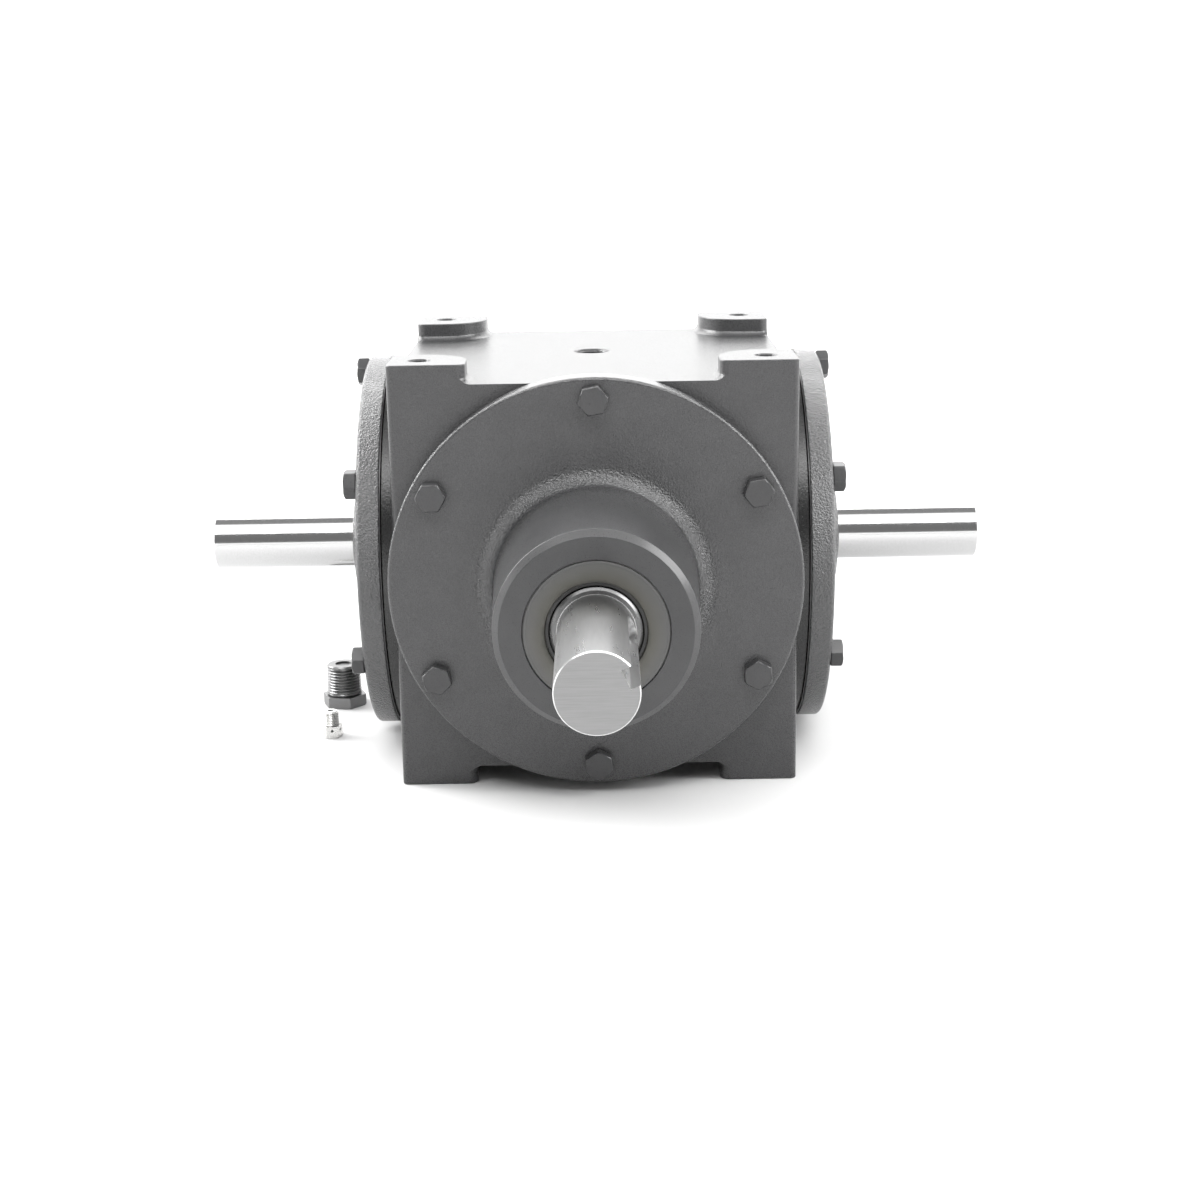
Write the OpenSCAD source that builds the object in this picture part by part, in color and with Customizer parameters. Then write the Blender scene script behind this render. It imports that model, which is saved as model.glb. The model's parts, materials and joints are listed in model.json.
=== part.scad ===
// Right-angle bevel gearbox with one flanged input shaft and a through cross shaft.
// Origin: centre of the four foot holes, on the plane the feet stand on.
// +X runs along the cross shaft, -Y is the input side, +Z is up.
// Modules measure along Y from the cross shaft, and from_cross() puts them in place.

/* [Housing] */
// Width of the cast body between its two side faces
body_w = 214; // [210:1:222]
// Height of the shaft axes above the feet
axis_h = 114.3; // [114:0.1:118]
// Half height of the cast body, without its feet and top pads
body_half_h = 104; // [103:0.5:106]
// Distance from the cross shaft axis to the front face
body_front = 104; // [103:0.5:105]
// Distance from the cross shaft axis to the rear face
body_back = 130; // [126:1:140]
// Wall thickness of the casting
wall = 11; // [10:0.5:12]
// Radius of the three machined openings that the covers plug
opening_r = 82; // [80:0.5:84]
// How far the round side seats stand out from the side faces
seat_h = 6.6; // [5:0.2:8]
// Radius of the round side seats
seat_r = 103.5; // [103:0.5:104]

/* [Feet and top pads] */
// Hole spacing of the feet and of the top pads, along the cross shaft
pad_pitch_x = 182; // [178:1:184]
// Distance of the front pad holes from the cross shaft axis
pad_front_y = 85; // [82:1:86]
// Distance of the rear pad holes from the cross shaft axis
pad_rear_y = 111; // [106:1:112]
// Radius of the rounded inner corner of a pad, round its hole
pad_r = 25; // [23:0.5:28]
// Radius of a pad's upright corners at the faces of the body
pad_corner_r = 5; // [2:0.5:8]
// Tapping radius of the 1/2 inch pad holes
pad_tap_r = 5.36; // [5:0.02:6]
// Depth of the pad holes
pad_tap_depth = 18; // [14:0.5:18]
// Place of the fill port, to the left of the input axis
fill_x = 0.7; // [0:0.1:5]
// Place of the fill port, behind the cross shaft axis
fill_y = 26.4; // [20:0.1:40]

/* [Covers] */
// Radius of the front cover's flange
front_flange_r = 109; // [108:0.5:110]
// Thickness of the front cover's flange
front_flange_t = 16; // [14:0.5:18]
// Radius of the front hub at its nose
nose_r = 50; // [48:0.5:51]
// Chamfer round the nose of the hub
nose_chamfer = 3.2; // [1:0.2:5]
// Distance from the cross shaft axis to the face of the nose
nose_y = 212.7; // [210:0.1:216]
// Radius of the side covers
side_cap_r = 106; // [105:0.5:107]
// Thickness of the side covers
side_cap_t = 12.7; // [12:0.1:14]
// Thickness of the shim pack under each cover
shim_t = 0.5; // [0.2:0.1:0.8]
// Radius of the circle that the cover bolts stand on
bolt_circle_r = 97.5; // [97:0.5:98]
// Number of bolts in each cover
bolt_count = 6; // [5:1:8]

/* [Shafts] */
// Radius of the input shaft's extension
input_r = 19.05; // [17:0.05:19.05]
// Distance from the cross shaft axis to the end of the input shaft
input_end_y = 310; // [290:1:330]
// Width of the input shaft's keyseat
input_key_w = 9.525; // [8:0.025:10]
// Depth of the input shaft's keyseat
input_key_depth = 5.2; // [4:0.1:5.5]
// Direction of the keyseat, seen from the input end
input_key_angle = 25; // [0:1:359]
// Radius of the cross shaft's extensions
cross_r = 15.875; // [14:0.025:16]
// Distance from the input axis to each end of the cross shaft
cross_end_x = 219.5; // [200:0.5:240]
// Width of the cross shaft's keyseats
cross_key_w = 6.35; // [5:0.05:8]
// Depth of the cross shaft's keyseats
cross_key_depth = 3.2; // [2.5:0.1:3.5]

/* [Bevel gears] */
// Number of teeth on each gear of the pair
gear_teeth = 20; // [16:4:24]
// Pitch radius at the large end of the teeth
gear_pitch_r = 65; // [60:0.5:66]
// Clearance between the flanks of a tooth pair
gear_backlash = 0.5; // [0.4:0.05:0.8]

/* [Loose fittings] */
// How far the reducer bushing stands to the left of the input axis
bushing_x = 157; // [155:1:165]
// How far the reducer bushing stands behind the cross shaft axis
bushing_y = 45; // [40:1:60]
// Width of the bushing's hexagon across its corners
bushing_hex_w = 27.1; // [26:0.1:28]
// Height of the bushing
bushing_h = 26; // [24:0.5:28]
// How far the vent plug stands to the left of the input axis
vent_x = 157.2; // [155:0.1:165]
// How far the vent plug stands in front of the cross shaft axis
vent_y = 17.5; // [15:0.5:25]
// Width of the vent plug's hexagon across its corners
vent_hex_w = 13.2; // [12:0.1:14]
// Height of the vent plug
vent_h = 15.6; // [14:0.1:17]

/* [Hidden] */

$fn = 96;
eps = 0.01;
big = 400;

// Painted casting, bare steel and the other finishes
paint = [0.36, 0.36, 0.37];
steel = [0.78, 0.78, 0.80];
dark_steel = [0.35, 0.35, 0.36];
brass = [0.72, 0.58, 0.32];
zinc = [0.86, 0.85, 0.82];

// Body
half_w = body_w / 2;
block_z = axis_h - body_half_h;
block_h = 2 * body_half_h;
block_d = body_front + body_back;
pad_h = block_z;
cavity_front_y = body_front - 14;
cavity_back_y = body_back - 12;
cavity_half_w = half_w - wall;
cavity_half_h = body_half_h - wall;
edge_r = 3;
cavity_corner_r = 12;
foot_cove_r = 5;
mouth_step = 0.4;
shaft_chamfer = 0.7;
bolt_r = 4.7625;
tap_r = 4.8;
front_tap_depth = 12.5;
side_tap_depth = 16;
bolt_af = 14.29;
bolt_head_h = 6.6;
bolt_length = 28;
bolt_top_r = bolt_af / 2 - 0.1;
pipe_tap_r = 9.13;
pipe_mouth_r = 10.65;
drain_z = block_z + 24;
level_z = axis_h;
plug_heights = [drain_z, level_z];
plug_boss_r = 18;
plug_boss_h = 8;
plug_r = pipe_tap_r - 0.05;
plug_l = 12;
plug_sink = 1;
plug_socket_r = 6.2;
plug_socket_depth = 7;
cutter_l = 40;

// Covers
seat_x = half_w + seat_h;
side_back_x = seat_x + shim_t;
side_face_x = side_back_x + side_cap_t;
front_back_y = body_front + shim_t;
front_face_y = front_back_y + front_flange_t;
hub_root_r = 53.5;
hub_cove_r = 7.5;
pilot_r = opening_r - 0.05;
pilot_inner_r = 71;
pilot_h = 9.5;
bearing_tube_r = 45;
front_tube_y = 96;
clear_r = 5.2;

// Side boss round each end of the cross shaft
boss_root_r = 42;
boss_shoulder_r = 35;
boss_face_r = 30;
boss_cove_r = 4;
boss_crown = 4;
boss_x = side_face_x + 10.7;
inner_lip_r = 24.5;
input_shoulder_r = 33;
cross_shoulder_r = 32;

// Tapered roller bearings, one cup size on all four
cup_r = 36.715;
cup_w = 15.5;
bearing_w = 19.56;
cup_race_angle = 12;
cup_race_mid_r = 33.4;
cone_race_mid_r = 27.1;
race_mid_z = 10.5;
roller_count = 16;
roller_len = 12.4;
roller_gap = 0.03;
race_apex_z = race_mid_z + cup_race_mid_r / tan(cup_race_angle);
cone_race_angle = atan(cone_race_mid_r / (race_apex_z - race_mid_z));
roller_tilt = (cup_race_angle + cone_race_angle) / 2;
roller_half_taper = (cup_race_angle - cone_race_angle) / 2;
roller_far = (race_apex_z - 4.0) / cos(roller_tilt);
roller_near = roller_far - roller_len;

// Input line
input_seat_r = 22.619;
input_journal_r = 22.225;
input_collar_r = 27;
input_front_back_y = 179.44;
input_rear_back_y = 125;
input_front_stop_y = input_front_back_y + bearing_w;
input_rear_stop_y = input_rear_back_y - bearing_w;
seal_t = 10;
seal_recess = [1.6, 1.2];
seal_gutter = [0.5, 0.8];
input_seal_r = 35.5;
pinion_bore_r = 20;
pinion_hub_y = 100;
pinion_nose_y = 46;
ring_t = 2.4;
ring_groove_r = 38.5;
ring_inner_r = 33.5;
ring_gap = 0.1;
input_key_start_y = nose_y + 16;
pinion_key_y = 66;
pinion_hub_r = [40, 30];
pinion_step_y = gear_pitch_r + 19;
washer_r = 28;
washer_t = 5;
screw_r = 4.15;
screw_clear_r = 5.3;
screw_hole_r = 4.2;
screw_hole_y = 80;
screw_end_y = 76;
screw_hex_w = 17;
screw_head_h = 6.4;

// Cross line
cross_seat_r = 20.638;
cross_journal_r = 19.05;
cross_collar_r = 25;
gear_bore_r = 22.5;
gear_stop_x = 46;
gear_hub_x = 84;
side_stop_x = 118;
side_back_face_x = side_stop_x - bearing_w;
cross_seal_r = 26;
seal_gap = 0.05;
shoulder_x = 139.3;
cross_key_start_x = shoulder_x + 22;
cross_key_angle = 130;
gear_key_x = 52;
gear_hub_r = 45;
gear_nose_r = 36;
spacer_r = 28;

// Keys
inner_key_w = 9.5;
inner_key_h = 9.5;
inner_key_l = 26;

// Loose pipe fittings: a hexagon below, a taper thread above, and a chamfered tip
fitting_hex_h = 7;
fitting_tip_h = 0.6;
fitting_tip_step = 0.65;
fitting_lap = 0.1;
bushing_turn = -9;
bushing_neck_h = 1.5;
bushing_thread_r = [10.65, 10.1];
bushing_bore_r = 4.3;
vent_turn = 12;
vent_thread_r = [4.9, 4.65];
vent_bore_r = 1.6;
vent_bore_z = 3;
vent_cross_r = 0.8;
vent_cross_z = 4.6;

// Bevel pair with its pitch cones meeting on the crossing of the axes
pressure_angle = 20;
pitch_cone = 45;
module_mm = 2 * gear_pitch_r / gear_teeth;
face_scale = 0.72;
virtual_r = gear_pitch_r / cos(pitch_cone);
virtual_base_r = virtual_r * cos(pressure_angle);
virtual_tip_r = virtual_r + module_mm * 0.95;
virtual_root_r = virtual_r - module_mm * 1.2;
half_tooth = 90 * cos(pitch_cone) / gear_teeth
    - gear_backlash / 4 / virtual_r * 180 / PI;

// ---------------------------------------------------------------- helpers

// Moves a piece from the cross shaft's own frame to the foot holes' frame
module from_cross() translate([0, (pad_front_y - pad_rear_y) / 2, 0]) children();

// Turns a shape that stands on +Z so that it points along the input side, -Y
module to_front() translate([0, 0, axis_h]) rotate([90, 0, 0]) children();

// Turns a shape that stands on +Z so that it points to one side: 1 right, -1 left.
// Its own +Y then points up.
module to_side(side) translate([0, 0, axis_h]) rotate([90, 0, 90 * side]) children();

// Ring between two radii, from z0 to z1
module ring(r_out, r_in, z0, z1) {
    translate([0, 0, z0]) difference() {
        cylinder(h = z1 - z0, r = r_out);
        translate([0, 0, -1]) cylinder(h = z1 - z0 + 2, r = r_in);
    }
}

// Round bar from z0 to z1 with a chamfer at its far end
module bar(r, z0, z1, chamfer = 0) {
    translate([0, 0, z0]) cylinder(h = z1 - z0 - chamfer, r = r);
    if (chamfer > 0)
        translate([0, 0, z1 - chamfer - eps]) cylinder(h = chamfer + eps, r1 = r, r2 = r - chamfer);
}

// The bolts' places on their circle, the first one at the top
module on_bolt_circle() {
    for (i = [0 : bolt_count - 1])
        rotate([0, 0, 90 + i * 360 / bolt_count]) translate([bolt_circle_r, 0, 0]) children();
}

// Rectangle with rounded corners, centred
module round_rect(w, d, r) {
    square([w - 2 * r, d], center = true);
    square([w, d - 2 * r], center = true);
    for (x = [-1, 1], y = [-1, 1])
        translate([x * (w / 2 - r), y * (d / 2 - r)]) circle(r = r);
}

// ---------------------------------------------------------------- housing

// Outline of one pad: square at the body's corner, round about its hole
module pad_outline(hole_x, hole_y, corner_x, corner_y) {
    side_x = hole_x - pad_r;
    side_y = hole_y - pad_r;
    r = pad_corner_r;
    translate([hole_x, hole_y]) circle(r = pad_r);
    translate([side_x + r, corner_y - r]) circle(r = r);
    translate([corner_x - r, side_y + r]) circle(r = r);
    polygon([[side_x, hole_y], [side_x, corner_y - r], [side_x + r, corner_y - r], [side_x + r, corner_y],
        [corner_x, corner_y], [corner_x, side_y + r], [corner_x - r, side_y + r], [corner_x - r, side_y],
        [hole_x, side_y], [hole_x, hole_y]]);
}

// Concave fillet profile: height up +Y, foot outwards along +X. Its arc dips a little
// below both surfaces, so that it crosses them instead of only touching them.
module cove(r) {
    c = r * 0.96;
    difference() {
        translate([-1, -1]) square([c + 1, c + 1]);
        translate([c, c]) circle(r = r);
    }
}

// Quarter turn of the fillet round a corner of radius r, from the given angle on
module cove_turn(x, y, r, from_angle) {
    translate([x, y, 0]) rotate([0, 0, from_angle])
        rotate_extrude(angle = 90) translate([r, 0]) cove(foot_cove_r);
}

// Fillet that runs round the inner edge of one pad, standing on z = 0
module pad_cove(hole_x, hole_y, corner_x, corner_y) {
    side_x = hole_x - pad_r;
    side_y = hole_y - pad_r;
    r = pad_corner_r;
    cove_turn(hole_x, hole_y, pad_r, 180);
    cove_turn(side_x + r, corner_y - r, r, 90);
    cove_turn(corner_x - r, side_y + r, r, 270);
    translate([side_x, hole_y, 0]) rotate([90, 0, 180])
        linear_extrude(height = corner_y - r - hole_y) cove(foot_cove_r);
    translate([hole_x, side_y, 0]) rotate([90, 0, -90]) mirror([0, 0, 1])
        linear_extrude(height = corner_x - r - hole_x) cove(foot_cove_r);
}

// One pad with its fillet, z = 0 on the body and the machined face at +Z
module pad(hole_x, hole_y, corner_x, corner_y) {
    translate([0, 0, -1]) linear_extrude(height = pad_h + 1)
        pad_outline(hole_x, hole_y, corner_x, corner_y);
    pad_cove(hole_x, hole_y, corner_x, corner_y);
}

// The four pads of one face of the body, kept inside the body's outline
module four_pads() {
    intersection() {
        for (side = [0, 1]) mirror([side, 0, 0]) {
            pad(pad_pitch_x / 2, pad_rear_y, half_w, body_back);
            mirror([0, 1, 0]) pad(pad_pitch_x / 2, pad_front_y, half_w, body_front);
        }
        translate([0, 0, -5]) linear_extrude(height = pad_h + 5) body_outline();
    }
}

// Tapped hole that opens at z = 0 and runs down, with a countersunk mouth
module tapped_hole(r, mouth_r, depth) {
    translate([0, 0, -depth]) cylinder(h = depth + 1, r = r);
    translate([0, 0, r - mouth_r]) cylinder(h = mouth_r - r + 1, r1 = r, r2 = mouth_r + 1);
}

module four_pad_holes() {
    for (x = [-1, 1], y = [-pad_front_y, pad_rear_y])
        translate([x * pad_pitch_x / 2, y, 0])
            tapped_hole(pad_tap_r, pad_tap_r + mouth_step, pad_tap_depth);
}

module body_outline() {
    translate([0, (body_back - body_front) / 2]) round_rect(body_w, block_d, edge_r);
}

module cavity() {
    depth = cavity_front_y + cavity_back_y;
    translate([0, (cavity_back_y - cavity_front_y) / 2, axis_h - cavity_half_h])
        linear_extrude(height = 2 * cavity_half_h) 
            round_rect(2 * cavity_half_w, depth, cavity_corner_r);
}

module housing() {
    color(paint) difference() {
        union() {
            difference() {
                union() {
                    translate([0, 0, block_z]) linear_extrude(height = block_h) body_outline();
                    translate([0, 0, block_z + block_h]) four_pads();
                    translate([0, 0, block_z]) mirror([0, 0, 1]) four_pads();
                    for (side = [-1, 1]) to_side(side)
                        translate([0, 0, half_w - 5]) cylinder(h = seat_h + 5, r = seat_r);
                }
                cavity();
            }
            // Pads inside the rear wall behind the level and drain plugs
            for (z = plug_heights) translate([0, cavity_back_y + 1, z])
                rotate([90, 0, 0]) cylinder(h = plug_boss_h + 1, r = plug_boss_r);
        }
        to_front() translate([0, 0, cavity_front_y - 2]) cylinder(h = cutter_l, r = opening_r);
        for (side = [-1, 1]) to_side(side)
            translate([0, 0, cavity_half_w - 2]) cylinder(h = cutter_l, r = opening_r);
        to_front() translate([0, 0, body_front]) on_bolt_circle()
            tapped_hole(tap_r, tap_r + mouth_step, front_tap_depth);
        for (side = [-1, 1]) to_side(side) translate([0, 0, seat_x]) on_bolt_circle()
            tapped_hole(tap_r, tap_r + mouth_step, side_tap_depth);
        translate([0, 0, axis_h + body_half_h + pad_h]) four_pad_holes();
        mirror([0, 0, 1]) four_pad_holes();
        translate([-fill_x, fill_y, axis_h + body_half_h])
            tapped_hole(pipe_tap_r, pipe_mouth_r, wall + 2);
        for (z = plug_heights) translate([0, body_back, z]) rotate([-90, 0, 0])
            tapped_hole(pipe_tap_r, pipe_mouth_r, cutter_l);
    }
}

// ---------------------------------------------------------------- covers

// Half section of the front cover: x is the radius, y the distance along the hub
module front_cap_section() {
    difference() {
        union() {
            // Flange with a chamfered rim, and the pilot ring that centres it
            polygon([[0, front_back_y], [front_flange_r, front_back_y],
                [front_flange_r, front_face_y - 1.2], [front_flange_r - 1.2, front_face_y],
                [0, front_face_y]]);
            translate([pilot_inner_r, front_back_y - pilot_h])
                square([pilot_r - pilot_inner_r, pilot_h + 1]);
            translate([0, front_tube_y]) square([bearing_tube_r, front_back_y - front_tube_y + 1]);
            // Tapered hub with a chamfered nose
            polygon([[0, front_face_y - 1], [hub_root_r, front_face_y - 1],
                [hub_root_r, front_face_y], [nose_r, nose_y - nose_chamfer],
                [nose_r - nose_chamfer, nose_y], [0, nose_y]]);
            translate([hub_root_r, front_face_y]) cove(hub_cove_r);
        }
        // Bearing bore, shoulder behind the seal, seal seat and retaining ring groove
        translate([-1, front_tube_y - 1]) square([cup_r + 1, input_front_stop_y - front_tube_y + 1]);
        translate([-1, input_front_stop_y - 1])
            square([input_shoulder_r + 1, nose_y - seal_t - input_front_stop_y + 2]);
        translate([-1, nose_y - seal_t]) square([input_seal_r + 1, seal_t + 1]);
        translate([0, input_rear_stop_y - ring_t]) square([ring_groove_r, ring_t]);
    }
}

module front_cap() {
    color(paint) difference() {
        to_front() rotate_extrude() front_cap_section();
        to_front() on_bolt_circle() cylinder(h = big, r = clear_r);
    }
}

// Half section of a side cover: x is the radius, y the distance along the shaft
module side_cap_section() {
    difference() {
        union() {
            polygon([[0, side_back_x], [side_cap_r, side_back_x],
                [side_cap_r, side_face_x - 1.5], [side_cap_r - 1.5, side_face_x],
                [boss_root_r, side_face_x], [boss_shoulder_r, boss_x - boss_crown],
                [boss_face_r, boss_x], [0, boss_x]]);
            translate([pilot_inner_r, side_back_x - pilot_h])
                square([pilot_r - pilot_inner_r, pilot_h + 1]);
            translate([0, side_back_face_x])
                square([bearing_tube_r, side_back_x - side_back_face_x + 1]);
            translate([boss_root_r, side_face_x]) cove(boss_cove_r);
        }
        translate([-1, side_back_face_x - 1]) square([cup_r + 1, bearing_w + 1]);
        translate([-1, side_stop_x - 1])
            square([cross_shoulder_r + 1, boss_x - seal_t - side_stop_x - 1]);
        translate([0, side_stop_x]) square([inner_lip_r - 1, cutter_l]);
        translate([-1, boss_x - seal_t]) square([cross_seal_r + 1, seal_t + 1]);
    }
}

module side_cap(side) {
    color(paint) difference() {
        to_side(side) rotate_extrude() side_cap_section();
        to_side(side) on_bolt_circle() cylinder(h = big, r = clear_r);
    }
}

module shim_ring(r_out, z0) {
    difference() {
        ring(r_out, opening_r + 1, z0, z0 + shim_t);
        on_bolt_circle() cylinder(h = big, r = clear_r);
    }
}

module front_shims() color(brass) to_front() shim_ring(seat_r, body_front);
module side_shims(side) color(brass) to_side(side) shim_ring(side_cap_r - 1, seat_x);

// Hexagon head bolt: z = 0 under the head, shank down
module cap_bolt(length) {
    intersection() {
        cylinder(h = bolt_head_h, r = bolt_af / sqrt(3), $fn = 6);
        cylinder(h = bolt_head_h, r1 = bolt_top_r + bolt_head_h / tan(30), r2 = bolt_top_r);
    }
    translate([0, 0, -length]) cylinder(h = length + 1, r = bolt_r);
}

// Six bolts, each head turned its own way as a fitter leaves it
module bolt_set(face, length, clocks) {
    for (i = [0 : bolt_count - 1])
        rotate([0, 0, 90 + i * 360 / bolt_count]) translate([bolt_circle_r, 0, face])
            rotate([0, 0, clocks[i % len(clocks)] - 90 - i * 360 / bolt_count]) cap_bolt(length);
}

module front_cap_bolts() {
    color(paint) to_front() bolt_set(front_face_y, bolt_length, [11, 0, 44, 33, 31, 9]);
}

module left_cap_bolts() {
    color(paint) to_side(-1) bolt_set(side_face_x, bolt_length, [20, 48, 5, 37, 12, 55]);
}

module right_cap_bolts() {
    color(paint) to_side(1) bolt_set(side_face_x, bolt_length, [33, 8, 50, 16, 41, 2]);
}

// Cased shaft seal between two radii; z = 0 at the outside face
module shaft_seal(r_out, shaft_r) {
    difference() {
        translate([0, 0, -seal_t]) cylinder(h = seal_t, r = r_out);
        translate([0, 0, -seal_t - 1]) cylinder(h = seal_t + 2, r = shaft_r + seal_gap);
        translate([0, 0, -seal_recess[1]]) cylinder(h = 3, r = shaft_r + seal_recess[0]);
        // Gutter round the case's edge
        translate([0, 0, -seal_gutter[1]]) ring(r_out + 1, r_out - seal_gutter[0], 0, 2);
    }
}

module input_seal() {
    color(dark_steel) to_front() translate([0, 0, nose_y]) shaft_seal(input_seal_r, input_journal_r);
}

module side_seal(side) {
    color(dark_steel) to_side(side) translate([0, 0, boss_x]) shaft_seal(cross_seal_r, cross_journal_r);
}

// Pipe plug with a hexagon socket, screwed into the rear wall
module rear_plug(z) {
    color(dark_steel) translate([0, body_back, z]) rotate([-90, 0, 0]) difference() {
        translate([0, 0, -plug_l - plug_sink]) cylinder(h = plug_l, r = plug_r);
        translate([0, 0, -plug_socket_depth - plug_sink])
            cylinder(h = plug_socket_depth + 1, r = plug_socket_r, $fn = 6);
    }
}

// ---------------------------------------------------------------- bearings

// Bearings stand on z = 0 with their large roller ends, and narrow towards +Z
module bearing_cup() {
    race_r = function (z) (race_apex_z - z) * tan(cup_race_angle);
    z0 = bearing_w - cup_w;
    color(steel) rotate_extrude()
        polygon([[race_r(z0), z0], [cup_r, z0], [cup_r, bearing_w], [race_r(bearing_w), bearing_w]]);
}

module bearing_cone(bore_r) {
    race_r = function (z) (race_apex_z - z) * tan(cone_race_angle);
    rib_z = 3.3;
    end_z = 17.6;
    rib_r = 30.6;
    rib_small_r = race_r(end_z) + 0.9;
    color(steel) rotate_extrude()
        polygon([[bore_r, 0], [rib_r - 1, 0], [rib_r, 1], [rib_r, rib_z], [race_r(rib_z), rib_z],
            [race_r(end_z), end_z], [rib_small_r, end_z], [rib_small_r, bearing_w], [bore_r, bearing_w]]);
}

// One tapered roller in place, with extra all round for a pocket
module roller(extra = 0) {
    near = roller_near - extra;
    far = roller_far + extra;
    grow = extra - roller_gap;
    translate([0, 0, race_apex_z]) rotate([0, 180 - roller_tilt, 0]) translate([0, 0, near])
        cylinder(h = far - near, r1 = near * tan(roller_half_taper) + grow,
            r2 = far * tan(roller_half_taper) + grow, $fn = 32);
}

module bearing_rollers() {
    color(steel) for (i = [0 : roller_count - 1]) rotate([0, 0, i * 360 / roller_count]) roller();
}

// Conical cage with one pocket for each roller
module bearing_cage() {
    axis_r = function (z) (race_apex_z - z) * tan(roller_tilt);
    z0 = 2.2;
    z1 = 18.6;
    color(dark_steel) difference() {
        rotate_extrude() polygon([[axis_r(z0) + 0.7, z0], [axis_r(z0) + 1.8, z0],
            [axis_r(z1) + 1.8, z1], [axis_r(z1) + 0.7, z1]]);
        for (i = [0 : roller_count - 1]) rotate([0, 0, i * 360 / roller_count]) roller(0.15);
    }
}

// Places a bearing of the input line by the distance of its back face
module at_input_front() to_front() translate([0, 0, input_front_back_y]) children();
module at_input_rear() to_front() translate([0, 0, input_rear_back_y]) mirror([0, 0, 1]) children();
module at_side(side) to_side(side) translate([0, 0, side_back_face_x]) children();

// ---------------------------------------------------------------- input line

// Milled keyseat along +Z from z0 to z1 with a round run-out at the z0 end
module keyseat(shaft_r, w, depth, z0, z1) {
    translate([shaft_r - depth, -w / 2, z0]) cube([depth + 5, w, z1 - z0]);
    translate([shaft_r - depth, 0, z0]) rotate([0, 90, 0]) cylinder(h = depth + 5, r = w / 2);
}

module inner_key() {
    translate([0, -inner_key_w / 2, 0]) cube([inner_key_h, inner_key_w, inner_key_l]);
}

module input_shaft() {
    color(steel) to_front() difference() {
        rotate([0, 0, input_key_angle]) difference() {
            union() {
                bar(input_r, 200, input_end_y, shaft_chamfer);
                bar(input_journal_r, input_front_stop_y - 1, nose_y + 0.6, 1.2);
                bar(input_seat_r, pinion_hub_y, input_front_stop_y + 0.5);
                bar(input_collar_r, input_rear_back_y, input_front_back_y);
                bar(pinion_bore_r, pinion_nose_y + 1.5, pinion_hub_y + 1);
            }
            keyseat(input_r, input_key_w, input_key_depth, input_key_start_y, input_end_y + 1);
        }
        translate([pinion_bore_r - inner_key_h / 2, -inner_key_w / 2, pinion_key_y])
            cube([inner_key_h, inner_key_w, inner_key_l]);
        cylinder(h = screw_hole_y, r = screw_hole_r);
    }
}

module pinion_key() {
    color(steel) to_front()
        translate([pinion_bore_r - inner_key_h / 2, 0, pinion_key_y]) inner_key();
}

module pinion_washer() {
    color(steel) to_front()
        ring(washer_r, screw_clear_r, pinion_nose_y - washer_t, pinion_nose_y);
}

module pinion_screw() {
    color(dark_steel) to_front() union() {
        translate([0, 0, pinion_nose_y - washer_t - screw_head_h])
            cylinder(h = screw_head_h, r = screw_hex_w / sqrt(3), $fn = 6);
        bar(screw_r, pinion_nose_y - washer_t - 1, screw_end_y);
    }
}

module cup_retaining_ring() {
    color(dark_steel) to_front() ring(ring_groove_r - ring_gap, ring_inner_r,
        input_rear_stop_y - ring_t + ring_gap, input_rear_stop_y);
}

// ---------------------------------------------------------------- bevel pair

// Involute angle at a radius of the virtual spur gear, in degrees
function involute(r) = let (t = sqrt(max(0, pow(r / virtual_base_r, 2) - 1))) t * 180 / PI - atan(t);

// Flank point at a radius of the virtual gear, on the flat at the large end
function flank(r, side) =
    let (half = half_tooth + involute(virtual_r) - involute(max(r, virtual_base_r)),
        h = r - virtual_r,
        flat_r = (gear_pitch_r + h * cos(pitch_cone)) * gear_pitch_r
            / (gear_pitch_r - h * sin(pitch_cone)),
        a = side * half / cos(pitch_cone))
    [flat_r, a];

flank_steps = 5;
function step_r(i) = virtual_root_r + (virtual_tip_r - virtual_root_r) * i / flank_steps;
tooth_points = concat([for (i = [0 : flank_steps]) flank(step_r(i), -1)],
    [for (i = [flank_steps : -1 : 0]) flank(step_r(i), 1)]);

// Toothed ring: large end on z = 0, narrowing to the shared cone tip
module bevel_teeth() {
    pts = [for (k = [0 : gear_teeth - 1], p = tooth_points)
        let (a = p[1] + k * 360 / gear_teeth) [p[0] * cos(a), p[0] * sin(a)]];
    intersection() {
        linear_extrude(height = gear_pitch_r * (1 - face_scale), scale = face_scale) polygon(pts);
        // Back cone square to the pitch cone
        cylinder(h = 2 * gear_pitch_r, r1 = gear_pitch_r, r2 = 3 * gear_pitch_r);
    }
}

// Bevel gear blank with its hub behind the teeth, bored and keyed
module bevel_wheel(bore_r, hub_r, hub_l, nose_l) {
    difference() {
        union() {
            bevel_teeth();
            translate([0, 0, -hub_l]) cylinder(h = hub_l + eps, r = hub_r);
            cylinder(h = nose_l, r = gear_nose_r);
        }
        translate([0, 0, -big / 2]) cylinder(h = big, r = bore_r);
    }
}

module pinion() {
    color(dark_steel) difference() {
        union() {
            translate([0, -gear_pitch_r, axis_h]) rotate([-90, 0, 0])
                rotate([0, 0, 180 / gear_teeth])
                    bevel_wheel(pinion_bore_r, pinion_hub_r[0], pinion_step_y - gear_pitch_r,
                        gear_pitch_r - pinion_nose_y);
            to_front() ring(pinion_hub_r[1], pinion_bore_r, pinion_step_y - 1, pinion_hub_y);
        }
        to_front() translate([0, -inner_key_w / 2, 40])
            cube([pinion_bore_r + inner_key_h / 2, inner_key_w, 80]);
    }
}

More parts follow.
